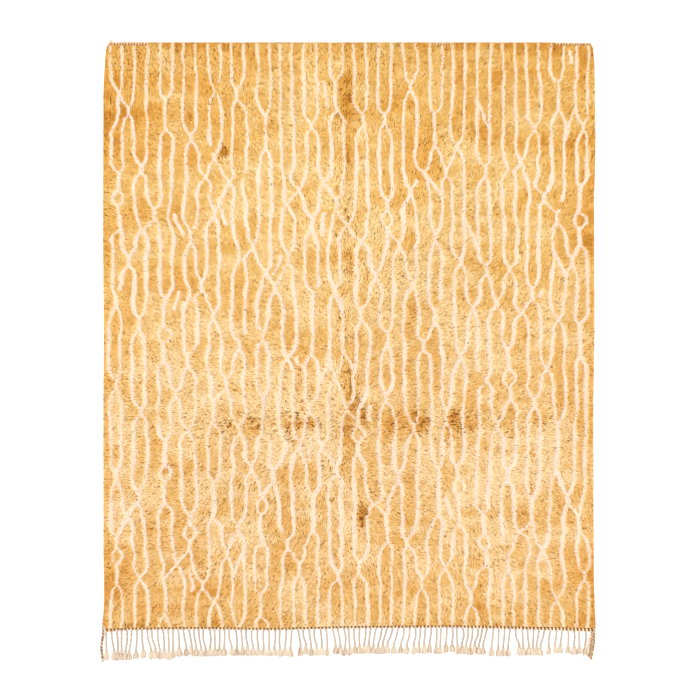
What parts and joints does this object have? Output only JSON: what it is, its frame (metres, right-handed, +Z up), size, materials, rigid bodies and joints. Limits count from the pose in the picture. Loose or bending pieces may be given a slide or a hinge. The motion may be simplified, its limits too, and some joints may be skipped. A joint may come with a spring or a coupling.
{
  "type": "knotted wool pile rug",
  "caption": "Rectangular hand-knotted wool rug with a deep pile, lying flat, with a knotted fringe at one end and twined bands across both ends.",
  "frame": {"origin": "middle of the woven field's underside, on the floor", "axes": "+Y up the face to the closed end, away from the fringe; +X to the right seen from above with the fringe nearest; +Z up out of the pile"},
  "size_m": [2.5302, 3.1711, 0.0295],
  "materials": {
    "pile": "honey-coloured wool pile with cream lines, soft lustre",
    "warp": "undyed cream wool, twisted and knotted",
    "twining": "brown and cream wool twined in turn",
    "selvedge": "plied dark brown and cream wool cord"
  },
  "bodies": {
    "root": {"pile_field": "pile", "warp_fringe": "warp", "twined_band_lower": "twining", "twined_band_upper": "twining", "selvedge_left": "selvedge", "selvedge_right": "selvedge", "twining_tail": "twining"}
  },
  "joints": []
}
